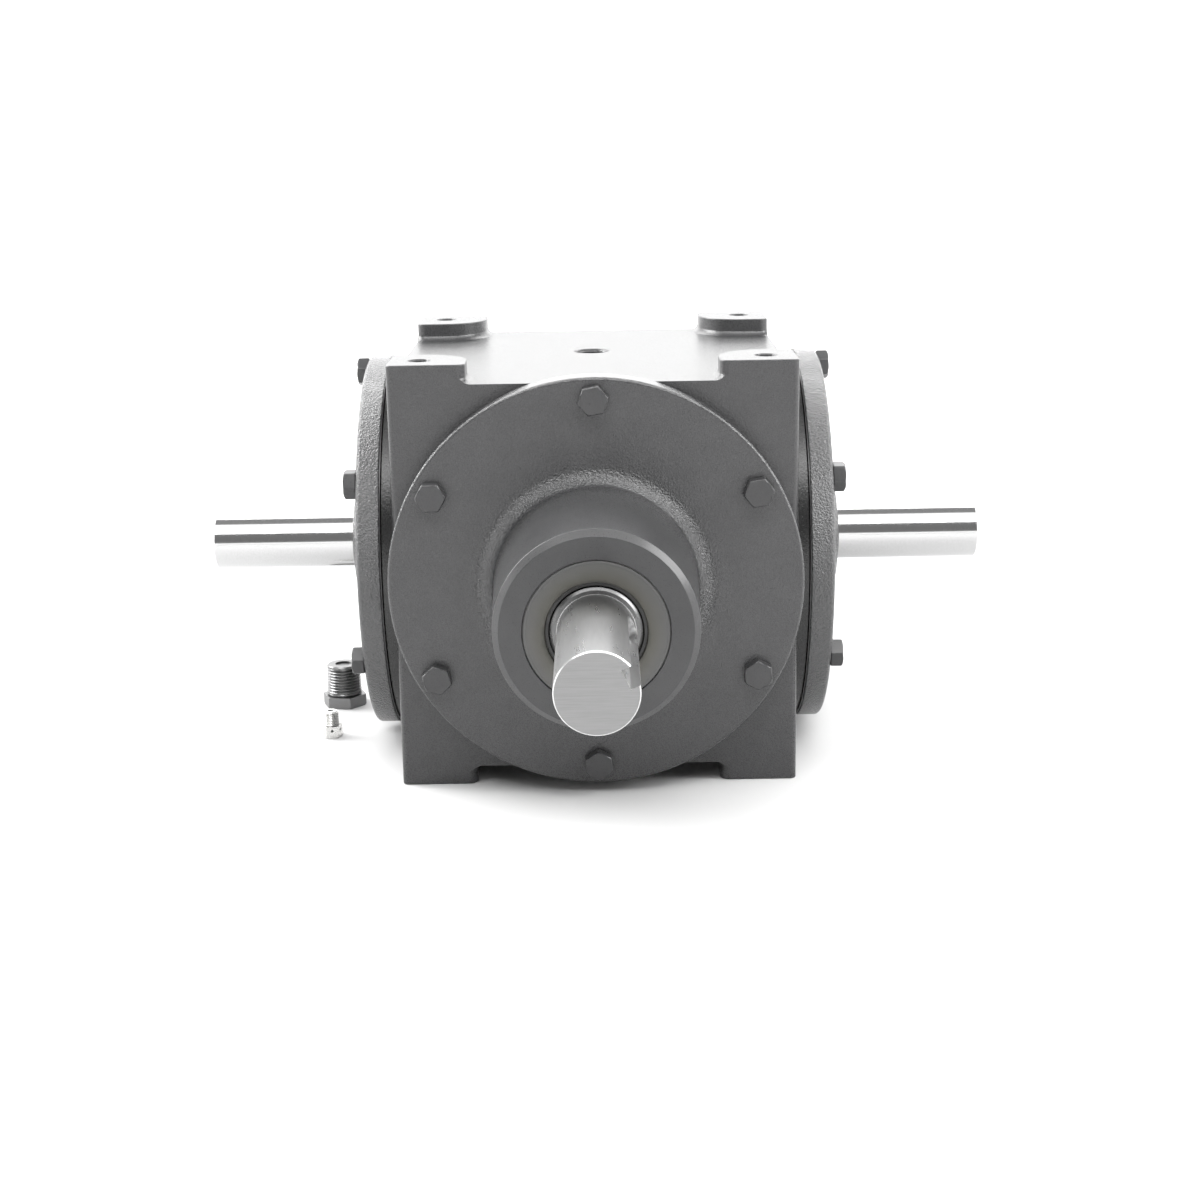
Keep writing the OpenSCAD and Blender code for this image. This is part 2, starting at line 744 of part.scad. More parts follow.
module bevel_gear() {
    color(dark_steel) difference() {
        translate([gear_pitch_r, 0, axis_h]) rotate([0, -90, 0])
            bevel_wheel(gear_bore_r, gear_hub_r, gear_hub_x - gear_pitch_r,
                gear_pitch_r - gear_stop_x);
        to_side(1) translate([0, -inner_key_w / 2, 40])
            cube([gear_bore_r + inner_key_h / 2, inner_key_w, 80]);
    }
}

// ---------------------------------------------------------------- cross line

module cross_shaft() {
    color(steel) difference() {
        union() {
            for (side = [-1, 1]) to_side(side) rotate([0, 0, 90 - side * cross_key_angle]) {
                bar(cross_r, 0, cross_end_x, shaft_chamfer);
                bar(cross_journal_r, 0, shoulder_x, 1.2);
                bar(cross_seat_r, 0, side_stop_x);
            }
            to_side(1) bar(gear_bore_r, 0, gear_hub_x);
            translate([-side_back_face_x, 0, axis_h]) rotate([0, 90, 0])
                cylinder(h = side_back_face_x + gear_stop_x, r = cross_collar_r);
        }
        // Keyseats in both extensions, turned to the rear and down
        for (side = [-1, 1]) to_side(side) rotate([0, 0, 90 - side * cross_key_angle])
            keyseat(cross_r, cross_key_w, cross_key_depth, cross_key_start_x, cross_end_x + 1);
        to_side(1) translate([gear_bore_r - inner_key_h / 2, -inner_key_w / 2, gear_key_x])
            cube([inner_key_h, inner_key_w, inner_key_l]);
    }
}

module gear_key() {
    color(steel) to_side(1)
        translate([gear_bore_r - inner_key_h / 2, 0, gear_key_x]) inner_key();
}

module gear_spacer() {
    color(steel) to_side(1) ring(spacer_r, cross_seat_r, gear_hub_x, side_back_face_x);
}

// ---------------------------------------------------------------- loose fittings

// Hexagon below, neck, taper thread between two radii and chamfered tip
module pipe_fitting(hex_w, turn, neck_h, thread_r, height) {
    thread_z = fitting_hex_h + neck_h;
    tip_z = height - fitting_tip_h;
    rotate([0, 0, turn]) cylinder(h = fitting_hex_h, r = hex_w / 2, $fn = 6);
    translate([0, 0, fitting_hex_h - fitting_lap])
        cylinder(h = neck_h + 2 * fitting_lap, r = thread_r[0] - 1);
    translate([0, 0, thread_z])
        cylinder(h = tip_z - thread_z + fitting_lap, r1 = thread_r[0], r2 = thread_r[1]);
    translate([0, 0, tip_z])
        cylinder(h = fitting_tip_h, r1 = thread_r[1], r2 = thread_r[1] - fitting_tip_step);
}

// Reducer bushing, bored right through
module bushing() {
    color(dark_steel) translate([-bushing_x, bushing_y, 0]) difference() {
        pipe_fitting(bushing_hex_w, bushing_turn, bushing_neck_h, bushing_thread_r, bushing_h);
        translate([0, 0, -1]) cylinder(h = bushing_h + 2, r = bushing_bore_r);
    }
}

// Vent plug, bored from the tip, with a cross hole through its hexagon
module vent_plug() {
    color(zinc) translate([-vent_x, -vent_y, 0]) difference() {
        pipe_fitting(vent_hex_w, vent_turn, fitting_lap, vent_thread_r, vent_h);
        translate([0, 0, vent_bore_z]) cylinder(h = vent_h, r = vent_bore_r);
        translate([0, 0, vent_cross_z]) rotate([90, 0, vent_turn])
            cylinder(h = 2 * vent_hex_w, r = vent_cross_r, center = true);
    }
}

// ---------------------------------------------------------------- assembly

from_cross() housing();
from_cross() front_cap();
from_cross() side_cap(-1);  // left_cap
from_cross() side_cap(1);  // right_cap
from_cross() front_shims();
from_cross() side_shims(-1);  // left_shims
from_cross() side_shims(1);  // right_shims
from_cross() front_cap_bolts();
from_cross() left_cap_bolts();
from_cross() right_cap_bolts();
from_cross() input_seal();
from_cross() side_seal(-1);  // left_seal
from_cross() side_seal(1);  // right_seal
from_cross() rear_plug(drain_z);  // drain_plug
from_cross() rear_plug(level_z);  // level_plug
from_cross() input_shaft();
from_cross() pinion();
from_cross() pinion_key();
from_cross() pinion_washer();
from_cross() pinion_screw();
from_cross() cup_retaining_ring();
from_cross() cross_shaft();
from_cross() bevel_gear();
from_cross() gear_key();
from_cross() gear_spacer();
from_cross() at_input_front() bearing_cup();  // input_front_cup
from_cross() at_input_front() bearing_cone(input_seat_r);  // input_front_cone
from_cross() at_input_front() bearing_rollers();  // input_front_rollers
from_cross() at_input_front() bearing_cage();  // input_front_cage
from_cross() at_input_rear() bearing_cup();  // input_rear_cup
from_cross() at_input_rear() bearing_cone(input_seat_r);  // input_rear_cone
from_cross() at_input_rear() bearing_rollers();  // input_rear_rollers
from_cross() at_input_rear() bearing_cage();  // input_rear_cage
from_cross() at_side(-1) bearing_cup();  // left_cup
from_cross() at_side(-1) bearing_cone(cross_seat_r);  // left_cone
from_cross() at_side(-1) bearing_rollers();  // left_rollers
from_cross() at_side(-1) bearing_cage();  // left_cage
from_cross() at_side(1) bearing_cup();  // right_cup
from_cross() at_side(1) bearing_cone(cross_seat_r);  // right_cone
from_cross() at_side(1) bearing_rollers();  // right_rollers
from_cross() at_side(1) bearing_cage();  // right_cage
from_cross() bushing();
from_cross() vent_plug();
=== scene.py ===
import json
import math

import bmesh
import bpy
from mathutils import Matrix, Vector


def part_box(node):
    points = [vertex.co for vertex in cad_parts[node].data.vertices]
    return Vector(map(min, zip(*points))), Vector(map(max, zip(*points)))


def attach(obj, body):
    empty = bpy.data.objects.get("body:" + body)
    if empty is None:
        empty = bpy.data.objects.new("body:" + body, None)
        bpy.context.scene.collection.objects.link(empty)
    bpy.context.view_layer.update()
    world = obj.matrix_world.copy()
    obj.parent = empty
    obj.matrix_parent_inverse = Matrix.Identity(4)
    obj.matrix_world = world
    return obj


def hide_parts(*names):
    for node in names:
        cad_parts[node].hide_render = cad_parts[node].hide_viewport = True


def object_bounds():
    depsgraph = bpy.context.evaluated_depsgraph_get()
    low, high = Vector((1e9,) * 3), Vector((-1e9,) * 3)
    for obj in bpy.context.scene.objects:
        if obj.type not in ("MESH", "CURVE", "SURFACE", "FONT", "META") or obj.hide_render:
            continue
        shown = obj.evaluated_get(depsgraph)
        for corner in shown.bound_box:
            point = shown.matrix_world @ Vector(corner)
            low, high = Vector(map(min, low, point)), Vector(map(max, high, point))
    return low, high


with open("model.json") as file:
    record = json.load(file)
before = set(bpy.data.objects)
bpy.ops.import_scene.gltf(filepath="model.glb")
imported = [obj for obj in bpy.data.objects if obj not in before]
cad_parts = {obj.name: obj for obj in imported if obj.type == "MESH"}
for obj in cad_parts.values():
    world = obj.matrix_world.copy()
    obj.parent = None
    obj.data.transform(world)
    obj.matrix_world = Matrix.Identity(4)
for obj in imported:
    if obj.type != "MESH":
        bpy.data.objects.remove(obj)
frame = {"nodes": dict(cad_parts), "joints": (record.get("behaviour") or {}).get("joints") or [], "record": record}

CAD_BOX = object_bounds()
MM = 0.001

# The crossing of the two shaft axes, and the directions that the covers face
AXES = Vector(next(j["pos_m"] for j in frame["joints"] if j["name"] == "cross_shaft_spin"))
FRONT = Vector((0, -1, 0))
SIDES = {"left": Vector((-1, 0, 0)), "right": Vector((1, 0, 0))}
UP = Vector((0, 0, 1))

# Radii, and distances along a shaft from the crossing of the axes, in millimetres
BODY_HALF_H = 104
SEAT_H = 6.6
BOLT_CIRCLE_R = 97.5
BOLT_HOLE_R = 5.2
BOLT_COUNT = 6
CUP_R = 36.715
TUBE_R = 45
PILOT_R = (71, 81.95)
PILOT_DEPTH = 9.5
FRONT_TUBE_END = 96
FRONT_CUP_END = 199
FLANGE_BACK = 104.5
FLANGE_FACE = 120.5
HUB_R = 53.5
NOSE_R = 50
NOSE_CHAMFER = 3.2
SIDE_TUBE_END = 98.44
SIDE_CUP_END = 118
SIDE_BACK = 114.1
SIDE_FACE = 126.8
CROWN_R = (42, 35, 30)
CROWN_LIP = 4
INPUT_SEAL_R = 35.5
INPUT_BORE_R = 33
SIDE_SEAL_R = 26
SIDE_BORE_R = 24.5
SEAL_DEPTH = 10
INPUT_R = 19.05
INPUT_JOURNAL_R = 22.225
CROSS_R = 15.875
CROSS_JOURNAL_R = 19.05

# Threads: pitch and depth, and the chamfered mouth of the pad holes, in millimetres
PAD_MOUTH_R = 6.35
PAD_PITCH = 1.954
PAD_THREAD = 0.5
PIPE_PITCH = 1.814
PIPE_DEPTH = 0.95
MOUNTS = {m["name"]: m for m in frame["record"]["mounts"]}

# How finely round shapes are drawn, and the angle in degrees above which an edge stays sharp
LATHE_SEGMENTS = 192
SHARP_ANGLE = 30


# ---------------------------------------------------------------- mesh helpers

def far(node, direction):
    """How far a CAD node reaches from the shaft crossing along a direction, in millimetres."""
    lo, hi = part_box(node)
    return max((lo - AXES).dot(direction), (hi - AXES).dot(direction)) / MM


def axis_frame(origin, direction):
    """Matrix that puts a shape made along +Z, in metres, on an axis; its own +X stays level."""
    z = direction.normalized()
    x = UP.cross(z)
    x = x.normalized() if x.length > 0.5 else Vector((1, 0, 0))
    rotation = Matrix((x, z.cross(x), z)).transposed().to_4x4()
    return Matrix.Translation(origin) @ rotation


def make_object(name, bm, matrix):
    """Turns a bmesh in millimetres into an object in metres, placed by a matrix."""
    bmesh.ops.scale(bm, vec=(MM, MM, MM), verts=bm.verts)
    bm.transform(matrix)
    bmesh.ops.recalc_face_normals(bm, faces=bm.faces)
    mesh = bpy.data.meshes.new(name)
    bm.to_mesh(mesh)
    bm.free()
    smooth(mesh)
    obj = bpy.data.objects.new(name, mesh)
    bpy.context.scene.collection.objects.link(obj)
    return obj


def smooth(mesh):
    mesh.shade_smooth()
    mesh.set_sharp_from_angle(angle=math.radians(SHARP_ANGLE))


def rounded(points, arc_steps=5):
    """Profile with each corner (x, y, radius) turned into an arc of that radius."""
    out = []
    count = len(points)
    for i, (x, y, radius) in enumerate(points):
        corner = Vector((x, y))
        to_last = Vector(points[i - 1][:2]) - corner
        to_next = Vector(points[(i + 1) % count][:2]) - corner
        if radius <= 0 or to_last.length < 1e-6 or to_next.length < 1e-6:
            out.append(corner)
            continue
        a, b = to_last.normalized(), to_next.normalized()
        half = a.angle(b) / 2
        reach = min(radius / math.tan(half), 0.49 * to_last.length, 0.49 * to_next.length)
        radius = reach * math.tan(half)
        centre = corner + (a + b).normalized() * radius / math.sin(half)
        start, end = corner + a * reach - centre, corner + b * reach - centre
        sweep = start.angle_signed(end)
        for k in range(arc_steps + 1):
            turn = Matrix.Rotation(-sweep * k / arc_steps, 2)
            out.append(centre + turn @ start)
    return out


def lathe_mesh(points, segments=LATHE_SEGMENTS):
    """Solid of revolution about +Z from a closed profile of (radius, height)."""
    bm = bmesh.new()
    rings = []
    for i in range(segments):
        a = 2 * math.pi * i / segments
        rings.append([bm.verts.new((r * math.cos(a), r * math.sin(a), z)) for r, z in points])
    count = len(points)
    for i, ring in enumerate(rings):
        after = rings[(i + 1) % segments]
        for k in range(count):
            n = (k + 1) % count
            if points[k][0] < 1e-6 and points[n][0] < 1e-6:
                continue
            bm.faces.new((ring[k], ring[n], after[n], after[k]))
    bmesh.ops.remove_doubles(bm, verts=bm.verts, dist=1e-5)
    return bm


def lathe_at(name, corners, matrix, segments=LATHE_SEGMENTS, arc_steps=5):
    """Turned solid from corners (radius, height, corner radius) about a matrix's +Z."""
    return make_object(name, lathe_mesh(rounded(corners, arc_steps), segments), matrix)


def lathe(name, corners, origin, direction, segments=LATHE_SEGMENTS, arc_steps=5):
    return lathe_at(name, corners, axis_frame(origin, direction), segments, arc_steps)


def prism_mesh(outline, z0, z1, bm=None):
    """Straight prism over a closed outline of (x, y), added to bm where one is given."""
    bm = bm or bmesh.new()
    low = [bm.verts.new((x, y, z0)) for x, y in outline]
    high = [bm.verts.new((x, y, z1)) for x, y in outline]
    bm.faces.new(low[::-1])
    bm.faces.new(high)
    for i in range(len(outline)):
        n = (i + 1) % len(outline)
        bm.faces.new((low[i], low[n], high[n], high[i]))
    return bm


def circle(radius, count, centre=(0, 0), turn=0):
    return [(centre[0] + radius * math.cos(turn + 2 * math.pi * i / count),
             centre[1] + radius * math.sin(turn + 2 * math.pi * i / count)) for i in range(count)]


def combine(obj, others, operation):
    """Boolean of obj with other objects, which are used up."""
    for other in others:
        modifier = obj.modifiers.new("combine", "BOOLEAN")
        modifier.operation = operation
        modifier.solver = "EXACT"
        modifier.object = other
    settle(obj)
    for other in others:
        bpy.data.objects.remove(other)
    return obj


def apply_modifiers(obj):
    bpy.context.view_layer.update()
    graph = bpy.context.evaluated_depsgraph_get()
    mesh = bpy.data.meshes.new_from_object(obj.evaluated_get(graph))
    obj.modifiers.clear()
    obj.data = mesh
    return obj


def settle(obj):
    """Applies every modifier, then marks the sharp edges afresh."""
    smooth(apply_modifiers(obj).data)
    return obj


def even_shading(obj):
    """Keeps large flat faces flat beside rounded edges."""
    modifier = obj.modifiers.new("shading", "WEIGHTED_NORMAL")
    modifier.mode = "FACE_AREA"
    modifier.weight = 50
    modifier.keep_sharp = True
    return apply_modifiers(obj)


def turned_shading(obj, direction):
    """True normals on the cylinders and cones of a shaft, and flat ones on its other faces."""
    mesh = obj.data
    normals = []
    for face in mesh.polygons:
        middle = face.center - AXES
        radial = (middle - middle.dot(direction) * direction).normalized()
        side = direction.cross(radial)
        turned = abs(face.normal.dot(side)) < 0.04 and abs(face.normal.dot(radial)) > 0.05
        for k in face.vertices:
            spot = mesh.vertices[k].co - AXES
            out = (spot - spot.dot(direction) * direction).normalized()
            true = face.normal.dot(direction) * direction + face.normal.dot(radial) * out
            normals.append(true.normalized() if turned else face.normal)
    mesh.shade_smooth()
    mesh.normals_split_custom_set(normals)
    return obj


ROUND_ANGLE = 38
ROUND_SEGMENTS = 3


def edge_round(obj, width, smallest):
    """Rounds sharp edges, except where they meet faces smaller than smallest, in square millimetres."""
    bm = bmesh.new()
    bm.from_mesh(obj.data)
    layer = bm.edges.layers.float.new("bevel_weight_edge")
    busy = {v for f in bm.faces if f.calc_area() < smallest * MM * MM for v in f.verts}
    for edge in bm.edges:
        if len(edge.link_faces) == 2 and edge.calc_face_angle() > math.radians(ROUND_ANGLE) \
                and not busy.intersection(edge.verts):
            edge[layer] = 1
    bm.to_mesh(obj.data)
    bm.free()
    modifier = obj.modifiers.new("edges", "BEVEL")
    modifier.width = width * MM
    modifier.segments = ROUND_SEGMENTS
    modifier.limit_method = "WEIGHT"
    modifier.use_clamp_overlap = False
    modifier.miter_outer = "MITER_ARC"
    return settle(obj)


def from_cad(name, node, width=0.0, smallest=0.0):
    """Copy of a CAD node with its flat faces made whole and its edges rounded by width."""
    bm = bmesh.new()
    bm.from_mesh(frame["nodes"][node].data)
    bmesh.ops.remove_doubles(bm, verts=bm.verts, dist=2e-6)
    bmesh.ops.dissolve_limit(bm, angle_limit=math.radians(0.6), verts=bm.verts, edges=bm.edges)
    mesh = bpy.data.meshes.new(name)
    bm.to_mesh(mesh)
    bm.free()
    obj = bpy.data.objects.new(name, mesh)
    bpy.context.scene.collection.objects.link(obj)
    smooth(mesh)
    if width > 0:
        edge_round(obj, width, smallest)
    return obj


THREAD_ROWS_PER_PITCH = 8


def thread_grid(bm, radius_at, turn_steps, z0, z1, pitch, depth):
    """Rings of points on a helical V thread; radius_at(z) is the crest radius.

    A depth below 0 cuts outward, for a thread inside a hole.
    """
    rows = max(4, round((z1 - z0) / pitch * THREAD_ROWS_PER_PITCH))
    rings = []
    for i in range(rows + 1):
        z = z0 + (z1 - z0) * i / rows
        fade = min(1, (z - z0) / pitch, (z1 - z) / pitch)
        ring = []
        for k in range(turn_steps):
            share = k / turn_steps
            wave = abs(((z / pitch - share) % 1) * 2 - 1)
            crest = min(1, max(0, wave * 1.25 - 0.12))
            r = radius_at(z) - depth * crest * fade
            a = 2 * math.pi * share
            ring.append(bm.verts.new((r * math.cos(a), r * math.sin(a), z)))
        rings.append(ring)
    for low, high in zip(rings, rings[1:]):
        for k in range(turn_steps):
            n = (k + 1) % turn_steps
            bm.faces.new((low[k], low[n], high[n], high[k]))
    return rings


def threaded_rod(z0, z1, r0, r1, pitch, depth, turn_steps=96):
    """Solid tapered rod with an outside thread."""
    bm = bmesh.new()
    rings = thread_grid(bm, lambda z: r0 + (r1 - r0) * (z - z0) / (z1 - z0),
                        turn_steps, z0, z1, pitch, depth)
    bm.faces.new(rings[0][::-1])
    bm.faces.new(rings[-1])
    return bm


def thread_sleeve(radius, embed, z0, z1, pitch, depth, turn_steps=96):
    """Tube whose inside carries a thread, set into the wall of a tapped hole."""
    bm = bmesh.new()
    inner = thread_grid(bm, lambda z: radius, turn_steps, z0, z1, pitch, depth)
    outer = []
    for z in (z0, z1):
        outer.append([bm.verts.new((x, y, z)) for x, y in circle(radius + embed, turn_steps)])
    for a, b in ((inner[0], outer[0]), (outer[0], outer[1]), (outer[1], inner[-1])):
        for k in range(turn_steps):
            n = (k + 1) % turn_steps
            bm.faces.new((a[k], a[n], b[n], b[k]))
    return bm


def finish_piece(obj, body, slot, *nodes):
    """Ties a piece to its body, in place of the CAD nodes that it covers. slot is not used."""
    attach(obj, body)
    if nodes:
        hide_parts(*nodes)
    return obj


# ---------------------------------------------------------------- material helpers

class Nodes:
    """Short way to write the node tree of a material or a world."""

    def __init__(self, owner, shader, coordinates):
        owner.use_nodes = True
        self.tree = owner.node_tree
        self.shader = self.tree.nodes[shader]
        self.place = self.add("ShaderNodeTexCoord").outputs[coordinates]

    def add(self, kind, **values):
        node = self.tree.nodes.new(kind)
        for key, value in values.items():
            setattr(node, key, value)
        return node

    def link(self, a, b):
        self.tree.links.new(a, b)

    def fill(self, socket, value):
        """Links another node's output to a socket, or sets the socket's own value."""
        if hasattr(value, "is_output"):
            self.link(value, socket)
        else:
            socket.default_value = value

    def math(self, operation, a, b=0.0, clamp=False):
        node = self.add("ShaderNodeMath", operation=operation, use_clamp=clamp)
        self.fill(node.inputs[0], a)
        self.fill(node.inputs[1], b)
        return node.outputs[0]

    def scaled(self, scale):
        node = self.add("ShaderNodeMapping")
        node.inputs["Scale"].default_value = scale
        self.link(self.place, node.inputs["Vector"])
        return node.outputs[0]

    def noise(self, scale, detail=3.0, roughness=0.55, place=None):
        node = self.add("ShaderNodeTexNoise")
        node.inputs["Scale"].default_value = scale
        node.inputs["Detail"].default_value = detail
        node.inputs["Roughness"].default_value = roughness
        self.link(place or self.place, node.inputs["Vector"])
        return node.outputs["Fac"]

    def voronoi(self, scale):
        node = self.add("ShaderNodeTexVoronoi", feature="F1")
        node.inputs["Scale"].default_value = scale
        self.link(self.place, node.inputs["Vector"])
        return node.outputs["Distance"]

    def ramp(self, value, *stops):
        """Value or colour ramp; each stop is (position, value or colour)."""
        node = self.add("ShaderNodeValToRGB")
        elements = node.color_ramp.elements
        while len(elements) > 1:
            elements.remove(elements[-1])
        for i, (position, colour) in enumerate(stops):
            element = elements[0] if i == 0 else elements.new(position)
            element.position = position
            shade = colour if isinstance(colour, tuple) else (colour, colour, colour)
            element.color = (*shade, 1)
        self.link(value, node.inputs["Fac"])
        return node.outputs["Color"]

    def mix(self, share, a, b):
        node = self.add("ShaderNodeMix", data_type="RGBA")
        self.fill(node.inputs["Factor"], share)
        for socket, value in ((node.inputs["A"], a), (node.inputs["B"], b)):
            sockets = [s for s in node.inputs if s.name == socket.name and s.type == "RGBA"]
            self.fill(sockets[0], value if hasattr(value, "is_output") else (*value, 1))
        return [s for s in node.outputs if s.type == "RGBA"][0]

    def bump(self, height, distance, strength, under=None):
        node = self.add("ShaderNodeBump")
        node.inputs["Distance"].default_value = distance
        self.fill(node.inputs["Strength"], strength)
        self.link(height, node.inputs["Height"])
        if under is not None:
            self.link(under, node.inputs["Normal"])
        return node.outputs["Normal"]

    def along(self, index):
        """A point's place along X, Y or Z."""
        node = self.add("ShaderNodeSeparateXYZ")
        self.link(self.place, node.inputs[0])
        return node.outputs[index]

    def axis_distance(self, direction):
        """Distance in metres of a point from the line through the shaft crossing."""
        squares = []
        for i in range(3):
            if abs(direction[i]) < 0.5:
                offset = self.math("SUBTRACT", self.along(i), AXES[i])
                squares.append(self.math("MULTIPLY", offset, offset))
        return self.math("SQRT", self.math("ADD", *squares))

    def set(self, **values):
        """Fills the shader's sockets; an underscore stands for a space in a socket's name."""
        for name, value in values.items():
            self.fill(self.shader.inputs[name.replace("_", " ")], value)


class MaterialNodes(Nodes):
    def __init__(self, name):
        self.material = bpy.data.materials.new(name)
        super().__init__(self.material, "Principled BSDF", "Object")


def scaled_colour(colour, factor):
    return tuple(c * factor for c in colour)


PAINT = (0.036, 0.036, 0.037)
PAINT_DARK = (0.030, 0.030, 0.031)
# Near black painted on the seat behind each side cover, as painted shade for the gap it stays in
SEAT_PAINTED_SHADE = (0.006, 0.006, 0.006)


def paint_material(name, grain=0.0, grain_from=None, painted_shade_from=None):
    """Enamel over cast iron. grain, or what grain_from builds, is how rough the casting is, 0 to 1.

    The last argument builds a mask of what stays in the dark behind a cover; there the colour is painted near
    black, as painted shade.
    """
    n = MaterialNodes(name)
    lumps = n.noise(780, 2, 0.55)
    pits = n.noise(2100, 2, 0.5)
    patches = n.noise(60, 3, 0.6)
    specks = n.ramp(n.voronoi(260), (0.0, 1.0), (0.13, 0.0))
    level = grain_from(n) if grain_from else grain
    height = n.math("ADD", n.math("MULTIPLY", lumps, 0.7), n.math("MULTIPLY", pits, 0.3))
    skin = n.bump(height, 0.0017, level)
    colour = n.mix(n.ramp(patches, (0.35, 0.0), (0.7, 1.0)), PAINT, PAINT_DARK)
    # Painted shade: near black where the mask marks the seat in the dark behind a cover
    if painted_shade_from:
        colour = n.mix(painted_shade_from(n), colour, SEAT_PAINTED_SHADE)
    if grain_from:
        gloss = n.math("ADD", n.math("MULTIPLY", level, 0.75), 0.45, True)
    else:
        gloss = min(1.0, level * 0.75 + 0.45)
    polish = n.math("MULTIPLY", level, 0.15)
    n.set(Base_Color=colour, Specular_IOR_Level=gloss,
          Roughness=n.math("SUBTRACT", n.ramp(pits, (0.3, 0.27), (0.7, 0.35)), polish),
          Normal=n.bump(specks, 0.0003, 0.35, skin))
    return n.material


def cover_grain(direction, grain_at):
    """Grain that changes with the distance from a shaft's axis, from pairs of (radius in mm, grain)."""
    reach = 0.115

    def grain(n):
        stops = [(radius * MM / reach, value) for radius, value in grain_at]
        return n.ramp(n.math("DIVIDE", n.axis_distance(direction), reach), *stops)
    return grain


def steel_material(name, colour, roughness, lines, spread):
    """Bare steel. lines is the scale of the noise along X, Y and Z that draws the tool marks."""
    n = MaterialNodes(name)
    marks = n.noise(1.0, 3, 0.6, n.scaled(lines))
    clouds = n.noise(30, 2, 0.5)
    blend = n.math("ADD", n.math("MULTIPLY", marks, 0.5), n.math("MULTIPLY", clouds, 0.5))
    n.set(Base_Color=n.mix(n.ramp(blend, (0.35, 0.0), (0.7, 1.0)), colour, scaled_colour(colour, 0.9)),
          Metallic=1.0,
          Roughness=n.ramp(marks, (0.3, roughness - spread), (0.7, roughness + spread)),
          Normal=n.bump(marks, 0.000006, 0.6))
    return n.material


# ---------------------------------------------------------------- castings

def bolt_holes(direction):
    """Cutters for a cover's bolt holes, long enough to pass through it."""
    bm = bmesh.new()
    for centre in circle(BOLT_CIRCLE_R, BOLT_COUNT, turn=math.pi / 2):
        prism_mesh(circle(BOLT_HOLE_R, 32, centre), 50, 150, bm)
    return make_object("bolt_hole_cutters", bm, axis_frame(AXES, direction))


def countersink(matrix, hole_r, mouth_r):
    """Cutter for the chamfer round the mouth of a tapped hole that opens along +Z."""
    inner = hole_r - 0.01
    return lathe_at("countersink", [
        (0, -1, 0), (inner, -1, 0), (inner, hole_r - mouth_r, 0), (mouth_r + 0.5, 0.5, 0), (0, 0.5, 0),
    ], matrix, 48)


def make_housing():
    housing = from_cad("housing_casting", "housing", 0.7, 2.0)
    combine(housing, [countersink(m, r, PAD_MOUTH_R) for m, r in pad_hole_places()], "DIFFERENCE")
    even_shading(housing)
    # The seat behind each side cover gets painted shade, near black, for the narrow gap between cover and housing
    # that stays in shadow
    seat_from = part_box("housing")[1].x - (SEAT_H - 0.4) * MM
    housing.data.materials.append(paint_material(
        "housing_paint", 0.15,
        painted_shade_from=lambda n: n.math("GREATER_THAN", n.math("ABSOLUTE", n.along(0)), seat_from)))
    return finish_piece(housing, "root", "casting_paint", "housing")


def make_front_cap():
    nose = far("front_cap", FRONT)
    rim = far("front_cap", Vector((1, 0, 0)))
    cap = lathe("front_cap_casting", [
        (TUBE_R, FRONT_TUBE_END, 1), (TUBE_R, FLANGE_BACK, 2), (PILOT_R[0], FLANGE_BACK, 2),
        (PILOT_R[0], FLANGE_BACK - PILOT_DEPTH, 0.8), (PILOT_R[1], FLANGE_BACK - PILOT_DEPTH, 0.8),
        (PILOT_R[1], FLANGE_BACK, 0.3), (rim, FLANGE_BACK, 0.6), (rim, FLANGE_FACE, 1.9),
        (HUB_R, FLANGE_FACE, 8.0), (NOSE_R - 0.05, nose - NOSE_CHAMFER, 0.7),
        (NOSE_R - NOSE_CHAMFER, nose, 0.7), (INPUT_SEAL_R, nose, 0.6),
        (INPUT_SEAL_R, nose - SEAL_DEPTH, 0), (INPUT_BORE_R, nose - SEAL_DEPTH, 0.5),
        (INPUT_BORE_R, FRONT_CUP_END, 0), (CUP_R, FRONT_CUP_END, 0.5), (CUP_R, FRONT_TUBE_END, 0.6),
    ], AXES, FRONT, arc_steps=6)
    combine(cap, [bolt_holes(FRONT)], "DIFFERENCE")
    even_shading(cap)
    # The hub is turned, the ring round its foot is as cast, and the flange is smoother up to its rim
    grain = cover_grain(FRONT, [
        (0, 0.015), (51.5, 0.03), (53.5, 0.25), (55.0, 0.85), (61.0, 0.80), (64.0, 0.30), (70.0, 0.17),
        (105.0, 0.17), (107.5, 0.2), (109.0, 0.6)])
    cap.data.materials.append(paint_material("front_cap_paint", grain_from=grain))
    return finish_piece(cap, "root", "casting_paint", "front_cap")


def make_side_cap(side):
    direction = SIDES[side]
    face = far(side + "_cap", direction)
    rim = far(side + "_cap", UP)
    cap = lathe(side + "_cap_casting", [
        (TUBE_R, SIDE_TUBE_END, 1), (TUBE_R, SIDE_BACK, 2), (PILOT_R[0], SIDE_BACK, 2),
        (PILOT_R[0], SIDE_BACK - PILOT_DEPTH, 0.8), (PILOT_R[1], SIDE_BACK - PILOT_DEPTH, 0.8),
        (PILOT_R[1], SIDE_BACK, 0.3), (rim, SIDE_BACK, 0.8), (rim, SIDE_FACE, 2.4),
        (CROWN_R[0], SIDE_FACE, 5.0), (CROWN_R[1], face - CROWN_LIP, 4.0), (CROWN_R[2], face, 3.0),
        (SIDE_SEAL_R, face, 0.5), (SIDE_SEAL_R, face - SEAL_DEPTH, 0),
        (SIDE_BORE_R, face - SEAL_DEPTH, 0), (SIDE_BORE_R, SIDE_CUP_END, 0),
        (CUP_R, SIDE_CUP_END, 0.5), (CUP_R, SIDE_TUBE_END, 0.6),
    ], AXES, direction, arc_steps=6)
    combine(cap, [bolt_holes(direction)], "DIFFERENCE")
    even_shading(cap)
    cap.data.materials.append(paint_material(side + "_cap_paint", 0.75))
    return finish_piece(cap, "root", "casting_paint", side + "_cap")


# ---------------------------------------------------------------- fasteners and plugs

